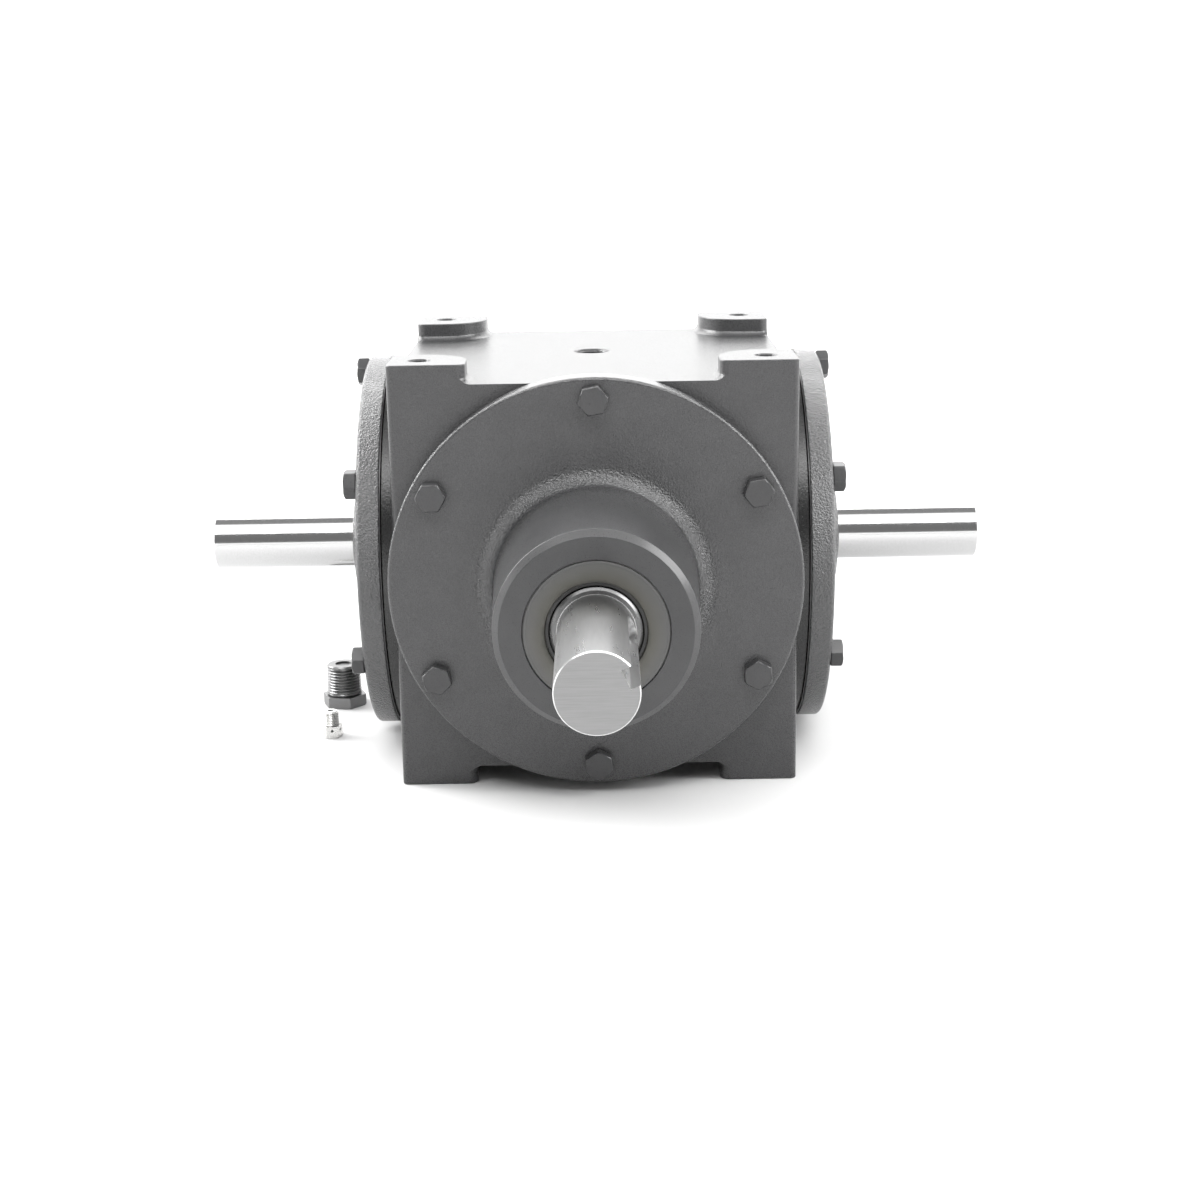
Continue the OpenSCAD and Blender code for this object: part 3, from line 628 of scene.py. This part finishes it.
def make_bolts(which):
    bolts = even_shading(from_cad(which + "_bolt_heads", which + "_cap_bolts", 0.55))
    bolts.data.materials.append(paint_material(which + "_bolt_paint", 0.04))
    return finish_piece(bolts, "root", "painted_steel", which + "_cap_bolts")


def make_rear_plug(name):
    plug = even_shading(from_cad(name + "_socket", name, 0.4))
    plug.data.materials.append(paint_material(name + "_paint", 0.05))
    return finish_piece(plug, "root", "painted_steel", name)


def pad_hole_places():
    """Where each pad hole opens, as (matrix whose +Z points out of the hole, its radius in mm)."""
    lo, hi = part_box("housing")
    places = []
    for name, z, turn in (("top_holes", hi.z, 0), ("foot_holes", lo.z, math.pi)):
        dims = MOUNTS[name]["dims"]
        for x in (-1, 1):
            for y in (-1, 1):
                spot = Vector((x * dims["spacing_x_mm"] / 2 * MM, y * dims["spacing_y_mm"] / 2 * MM, z))
                matrix = Matrix.Translation(spot) @ Matrix.Rotation(turn, 4, "X")
                places.append((matrix, dims["hole_r_mm"]))
    return places


def make_tapped_holes():
    """Threads inside the fill port and the pad holes."""
    port = MOUNTS["fill_port"]
    top = Vector((port["pos_m"][0], port["pos_m"][1], AXES.z + BODY_HALF_H * MM))
    bm = thread_sleeve(port["dims"]["r_mm"] - 0.02, 0.3, -10.8, -1.7, PIPE_PITCH, -PIPE_DEPTH * 0.6)
    made = [make_object("fill_port_thread", bm, Matrix.Translation(top))]
    for i, (matrix, hole_r) in enumerate(pad_hole_places()):
        bm = thread_sleeve(hole_r - 0.02, 0.3, -15, -1.2, PAD_PITCH, -PAD_THREAD, 48)
        made.append(make_object(f"pad_thread_{i + 1}", bm, matrix))
    material = paint_material("tapped_hole_paint", 0.04)
    for piece in made:
        piece.data.materials.append(material)
        finish_piece(piece, "root", "casting_paint")


# ---------------------------------------------------------------- seals

def seal_material(name, direction, inner, outer):
    """Oiled steel case, darker and a little yellow towards the shaft."""
    n = MaterialNodes(name)
    clouds = n.noise(70, 3, 0.6)
    share = n.math("DIVIDE", n.math("SUBTRACT", n.axis_distance(direction), inner * MM),
                   (outer - inner) * MM, True)
    out_from_shaft = n.math("ADD", share, n.math("MULTIPLY", n.math("SUBTRACT", clouds, 0.5), 0.5), True)
    n.set(Base_Color=n.ramp(out_from_shaft, (0.0, (0.030, 0.029, 0.024)), (0.2, (0.066, 0.064, 0.055)),
                            (0.55, (0.074, 0.073, 0.068)), (0.9, (0.072, 0.072, 0.071))),
          Metallic=0.3, Roughness=n.ramp(clouds, (0.3, 0.34), (0.7, 0.48)),
          Normal=n.bump(n.noise(700, 2), 0.00008, 0.4))
    return n.material


def rubber_material():
    n = MaterialNodes("seal_rubber")
    n.set(Base_Color=n.mix(n.noise(180, 3), (0.012, 0.012, 0.012), (0.022, 0.022, 0.021)),
          Roughness=n.ramp(n.noise(300, 2), (0.3, 0.36), (0.7, 0.55)),
          Normal=n.bump(n.noise(1200, 2), 0.00006, 0.4))
    return n.material


def make_seal(node, direction, outer, shaft, rubber):
    """Steel case and rubber lips of a shaft seal; outer and shaft are radii in millimetres."""
    face = far(node, direction)
    case = lathe(node + "_case", [
        (outer - 0.55, face, 0.15), (outer - 0.55, face - 1.2, 0), (outer, face - 1.2, 0.1),
        (outer, face - SEAL_DEPTH, 0.6), (shaft + 3.6, face - SEAL_DEPTH, 0.4),
        (shaft + 3.6, face - 2.2, 0), (shaft + 2.2, face - 1.6, 0.2), (shaft + 2.4, face - 0.1, 0.7),
        (outer - 2.2, face - 0.1, 0.3), (outer - 1.4, face, 0.2),
    ], AXES, direction, arc_steps=4)
    case.data.materials.append(seal_material(node + "_steel", direction, shaft + 2.2, outer))
    finish_piece(case, "root", "seal_case", node)
    lip = lathe(node + "_lip", [
        (shaft + 2.25, face - 1.5, 0.3), (shaft + 3.7, face - 2.2, 0), (shaft + 3.7, face - 8.5, 0.5),
        (shaft + 1.4, face - 8.5, 0.6), (shaft + 0.08, face - 6.2, 0.15), (shaft + 0.9, face - 4.4, 0.5),
        (shaft + 0.12, face - 2.4, 0.25), (shaft + 0.7, face - 1.4, 0.3),
    ], AXES, direction, arc_steps=4)
    lip.data.materials.append(rubber)
    finish_piece(lip, "root", "seal_case")


# ---------------------------------------------------------------- shafts

END_FACE_SHADE = 0.42
# How dark the journal inside the seal is painted, as painted shade from the seal's lip and bore
JOURNAL_PAINTED_SHADE = 0.22


def shaft_material(name, direction, reach, barrel_r, colour, roughness, end_roughness, lines):
    """Ground steel, duller on its faced end, and darkened with painted shade where it runs in the seal."""
    n = MaterialNodes(name)
    marks = n.noise(1.0, 3, 0.6, n.scaled(lines))
    saw = n.noise(1.0, 2, 0.6, n.scaled((60, 60, 1500)))
    index = max(range(3), key=lambda i: abs(direction[i]))
    along = n.math("ABSOLUTE", n.math("SUBTRACT", n.along(index), AXES[index]))
    end = n.math("GREATER_THAN", along, (reach - 0.2) * MM)
    dull = scaled_colour(colour, END_FACE_SHADE)
    # Painted shade: the journal inside the seal bore is darkened where the lip and bore keep it in shadow
    in_seal_painted_shade = n.math("GREATER_THAN", n.axis_distance(direction), (barrel_r + 0.15) * MM)
    barrel = n.mix(n.ramp(marks, (0.35, 0.0), (0.7, 1.0)), colour, scaled_colour(colour, 0.9))
    face = n.mix(n.ramp(saw, (0.35, 0.0), (0.7, 1.0)), dull, scaled_colour(dull, 0.94))
    n.set(Base_Color=n.mix(in_seal_painted_shade, n.mix(end, barrel, face), scaled_colour(colour, JOURNAL_PAINTED_SHADE)),
          Metallic=1.0,
          Roughness=n.mix(end, n.ramp(marks, (0.3, roughness - 0.01), (0.7, roughness + 0.01)),
                          n.ramp(saw, (0.3, end_roughness - 0.05), (0.7, end_roughness + 0.05))),
          Normal=n.bump(n.noise(2600, 2), 0.000002, 0.3))
    return n.material


def make_input_shaft():
    shaft = turned_shading(from_cad("input_shaft_steel", "input_shaft"), FRONT)
    shaft.data.materials.append(shaft_material(
        "input_shaft_ground", FRONT, far("input_shaft", FRONT), INPUT_R,
        (0.60, 0.60, 0.60), 0.28, 0.45, (260, 30, 260)))
    return finish_piece(shaft, "input_line", "ground_steel", "input_shaft")


def make_cross_shaft():
    direction = SIDES["right"]
    shaft = turned_shading(from_cad("cross_shaft_steel", "cross_shaft"), direction)
    shaft.data.materials.append(shaft_material(
        "cross_shaft_ground", direction, far("cross_shaft", direction), CROSS_R,
        (0.50, 0.50, 0.50), 0.13, 0.40, (2600, 900, 900)))
    return finish_piece(shaft, "cross_line", "ground_steel", "cross_shaft")


# ---------------------------------------------------------------- loose fittings

def fitting_foot(node):
    """Where a fitting's axis meets the surface that it stands on."""
    lo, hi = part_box(node)
    middle = (lo + hi) / 2
    return Vector((middle.x, middle.y, lo.z))


def make_fitting(name, node, spec):
    """Hexagon head below, neck, and tapered thread above, bored through."""
    foot = fitting_foot(node)
    place = Matrix.Translation(foot)
    corner_r, hex_h, neck_r, height = spec["corner_r"], spec["hex_h"], spec["neck_r"], spec["height"]
    z0, z1, r0, r1 = spec["thread"]

    hexagon = circle(corner_r, 6, turn=math.radians(spec["turn"]))
    body = make_object(name, prism_mesh(hexagon, 0, hex_h), place)
    crown = lathe("crown", [
        (0, -1, 0), (corner_r - 1.3, -1, 0), (corner_r - 0.75, 0, 0), (corner_r + 0.6, 1.6, 0),
        (corner_r + 0.6, hex_h - 0.5, 0), (corner_r - 0.35, hex_h, 0),
        (corner_r - 0.35, hex_h + 1, 0), (0, hex_h + 1, 0),
    ], foot, UP, FITTING_SEGMENTS)
    combine(body, [crown], "INTERSECT")

    neck = lathe("neck", [
        (0, hex_h - 1, 0), (neck_r, hex_h - 1, 0), (neck_r, z0 + 0.6, 0), (0, z0 + 0.6, 0),
    ], foot, UP, FITTING_SEGMENTS)
    rod = make_object("rod", threaded_rod(z0, z1, r0, r1, spec["pitch"], spec["depth"]), place)
    tip = lathe("tip", [
        (0, z1 - 0.4, 0), (r1 - 0.15, z1 - 0.4, 0), (r1 - 0.9, height, 0), (0, height, 0),
    ], foot, UP, FITTING_SEGMENTS)
    combine(body, [neck, rod, tip], "UNION")

    cutters = []
    for start, end, radius in spec["bores"]:
        cutters.append(make_object("bore", prism_mesh(circle(radius, 48), start, end), place))
    for up, radius, turn in spec["cross_bores"]:
        matrix = place @ Matrix.Translation((0, 0, up * MM)) \
            @ Matrix.Rotation(math.radians(turn), 4, "Z") @ Matrix.Rotation(math.pi / 2, 4, "X")
        cutters.append(make_object("bore", prism_mesh(circle(radius, 32), -30, 30), matrix))
    return combine(body, cutters, "DIFFERENCE")


# Sizes in millimetres and degrees. thread is (bottom, top, bottom radius, top radius), each bore is
# (from, to, radius) and each cross bore is (height, radius, direction)
FITTING_SEGMENTS = 96
BUSHING = {
    "corner_r": 13.55, "turn": -9, "hex_h": 7, "neck_r": 9.6, "height": 26,
    "thread": (8.0, 25.3, 10.65, 10.1), "pitch": PIPE_PITCH, "depth": PIPE_DEPTH,
    "bores": [(-1, 30, 4.3), (-1, 1.2, 5.2), (24.9, 30, 4.9)], "cross_bores": [],
}
VENT = {
    "corner_r": 6.6, "turn": 12, "hex_h": 7, "neck_r": 4.5, "height": 15.6,
    "thread": (7.2, 15.1, 4.9, 4.65), "pitch": 0.941, "depth": 0.42,
    "bores": [(3, 30, 1.6)], "cross_bores": [(4.6, 0.8, 12), (4.6, 0.8, 72)],
}


def make_bushing():
    piece = make_fitting("bushing_fitting", "bushing", BUSHING)
    piece.data.materials.append(steel_material(
        "bushing_steel", (0.19, 0.19, 0.19), 0.34, (500, 500, 2500), 0.06))
    return finish_piece(piece, "bushing", "black_steel", "bushing")


def make_vent():
    piece = make_fitting("vent_plug_fitting", "vent_plug", VENT)
    piece.data.materials.append(steel_material(
        "vent_zinc", (0.72, 0.715, 0.70), 0.28, (900, 900, 2500), 0.06))
    return finish_piece(piece, "vent_plug", "zinc_plate", "vent_plug")


# ---------------------------------------------------------------- inside parts

def dress_cad_nodes():
    """Materials for the CAD nodes that stay as they are."""
    gear = steel_material("gear_steel", (0.42, 0.42, 0.43), 0.32, (700, 700, 700), 0.06)
    race = steel_material("bearing_steel", (0.62, 0.62, 0.63), 0.16, (300, 300, 2600), 0.04)
    cage = steel_material("cage_steel", (0.34, 0.33, 0.31), 0.38, (500, 500, 500), 0.08)
    shim = paint_material("shim_paint", 0.05)
    for name, node in frame["nodes"].items():
        if node.hide_render:
            continue
        material = gear
        if "shims" in name:
            material = shim
        elif "cage" in name:
            material = cage
        elif name.endswith(("_cup", "_cone", "_rollers", "_ring", "_spacer")):
            material = race
        node.data.materials.clear()
        node.data.materials.append(material)


# ---------------------------------------------------------------- studio

# The camera's place in metres, its angles in radians and its lens in millimetres
CAMERA_PLACE = Vector((0.00239, -1.10568, 0.35851))
CAMERA_PITCH = 0.25363
CAMERA_YAW = -0.00052
CAMERA_ROLL = -0.01664
LENS = 57.67

FLOOR_HALF_SIZE = 9000
FLOOR_GAP = 0.00005

# The world's brightness by the sine of the elevation, and how dark it is on the input side
SKY_BY_HEIGHT = ((0.0, 1.0), (0.32, 1.0), (0.45, 0.18), (1.0, 0.18))
SKY_GAIN = 2.6
FRONT_DARK = 0.12

# Each box: name, azimuth and elevation in degrees, distance, width and height in metres, radiance
SOFT_BOXES = (
    ("front_high_box", 0, 74, 1.9, 2.6, 0.81, 2.0),
    ("front_low_box", 0, 53, 1.9, 2.6, 0.60, 8.0),
    ("rear_top_box", 180, 45.5, 2.1, 3.0, 1.32, 5.0),
    ("right_box", 78, 34, 1.8, 0.9, 1.1, 10.5),
    ("left_box", -108, 36, 1.8, 0.9, 1.3, 15.0),
)


def make_camera():
    forward = Vector((math.sin(CAMERA_YAW) * math.cos(CAMERA_PITCH),
                      math.cos(CAMERA_YAW) * math.cos(CAMERA_PITCH), -math.sin(CAMERA_PITCH)))
    level = Vector((math.cos(CAMERA_YAW), -math.sin(CAMERA_YAW), 0))
    upright = level.cross(forward)
    right = math.cos(CAMERA_ROLL) * level + math.sin(CAMERA_ROLL) * upright
    up = right.cross(forward)
    data = bpy.data.cameras.new("camera")
    data.lens = LENS
    data.sensor_width = 36
    camera = bpy.data.objects.new("camera", data)
    camera.matrix_world = Matrix.Translation(CAMERA_PLACE) @ \
        Matrix((right, up, -forward)).transposed().to_4x4()
    bpy.context.scene.collection.objects.link(camera)
    bpy.context.scene.camera = camera


def make_floor():
    """White sweep lit by the boxes, with a painted glow that rises with distance from the part; the missing glow
    near the part is painted shadow.
    """
    bm = bmesh.new()
    bmesh.ops.create_grid(bm, x_segments=1, y_segments=1, size=FLOOR_HALF_SIZE)
    floor = make_object("studio_floor", bm, Matrix.Translation((0, 0, CAD_BOX[0][2] - FLOOR_GAP)))
    n = MaterialNodes("floor_white")
    reach = n.math("DIVIDE", n.axis_distance(UP), 3.0, True)
    # Painted glow and painted shadow: no glow under and next to the part, more glow further off
    painted_glow_and_shadow = n.ramp(reach, (0.035, 0.0), (0.05, 0.1), (0.085, 0.24), (0.25, 0.5), (0.5, 1.0))
    n.set(Base_Color=n.mix(n.noise(3, 2), (0.49, 0.49, 0.49), (0.51, 0.51, 0.51)), Roughness=0.8,
          Specular_IOR_Level=0.1, Emission_Color=painted_glow_and_shadow, Emission_Strength=1.0)
    floor.data.materials.append(n.material)


def soft_box(name, azimuth, elevation, distance, width, height, radiance):
    """Rectangular light aimed at the shaft crossing. Azimuth 0 is the input side, 90 the right."""
    a, e = math.radians(azimuth), math.radians(elevation)
    offset = distance * Vector((math.sin(a) * math.cos(e), -math.cos(a) * math.cos(e), math.sin(e)))
    data = bpy.data.lights.new(name, "AREA")
    data.shape = "RECTANGLE"
    data.size = width
    data.size_y = height
    data.energy = radiance * width * height * math.pi
    light = bpy.data.objects.new(name, data)
    light.matrix_world = axis_frame(AXES + offset, offset)
    light.visible_camera = False
    bpy.context.scene.collection.objects.link(light)


def make_world():
    """White horizon all round, grey above it, and a darker zone on the input side."""
    world = bpy.data.worlds.new("studio")
    n = Nodes(world, "Background", "Generated")
    height = n.along(2)
    front = n.ramp(n.math("MULTIPLY", n.along(1), -1), (0.15, 0.0), (0.5, 1.0))
    above = n.ramp(height, (0.05, 0.0), (0.075, 1.0))
    sky = n.ramp(height, *SKY_BY_HEIGHT)
    n.set(Color=n.mix(n.math("MULTIPLY", front, above), sky, (FRONT_DARK,) * 3), Strength=SKY_GAIN)
    bpy.context.scene.world = world


def make_studio():
    make_camera()
    make_floor()
    make_world()
    for box in SOFT_BOXES:
        soft_box(*box)
    bpy.context.scene.view_settings.view_transform = "Standard"


make_studio()
make_housing()
make_front_cap()
for side_name in SIDES:
    make_side_cap(side_name)
for which_cap in ("front", "left", "right"):
    make_bolts(which_cap)
for plug_name in ("drain_plug", "level_plug"):
    make_rear_plug(plug_name)
make_tapped_holes()
seal_rubber = rubber_material()
make_seal("input_seal", FRONT, INPUT_SEAL_R, INPUT_JOURNAL_R, seal_rubber)
for side_name, outward in SIDES.items():
    make_seal(side_name + "_seal", outward, SIDE_SEAL_R, CROSS_JOURNAL_R, seal_rubber)
make_input_shaft()
make_cross_shaft()
make_bushing()
make_vent()
dress_cad_nodes()
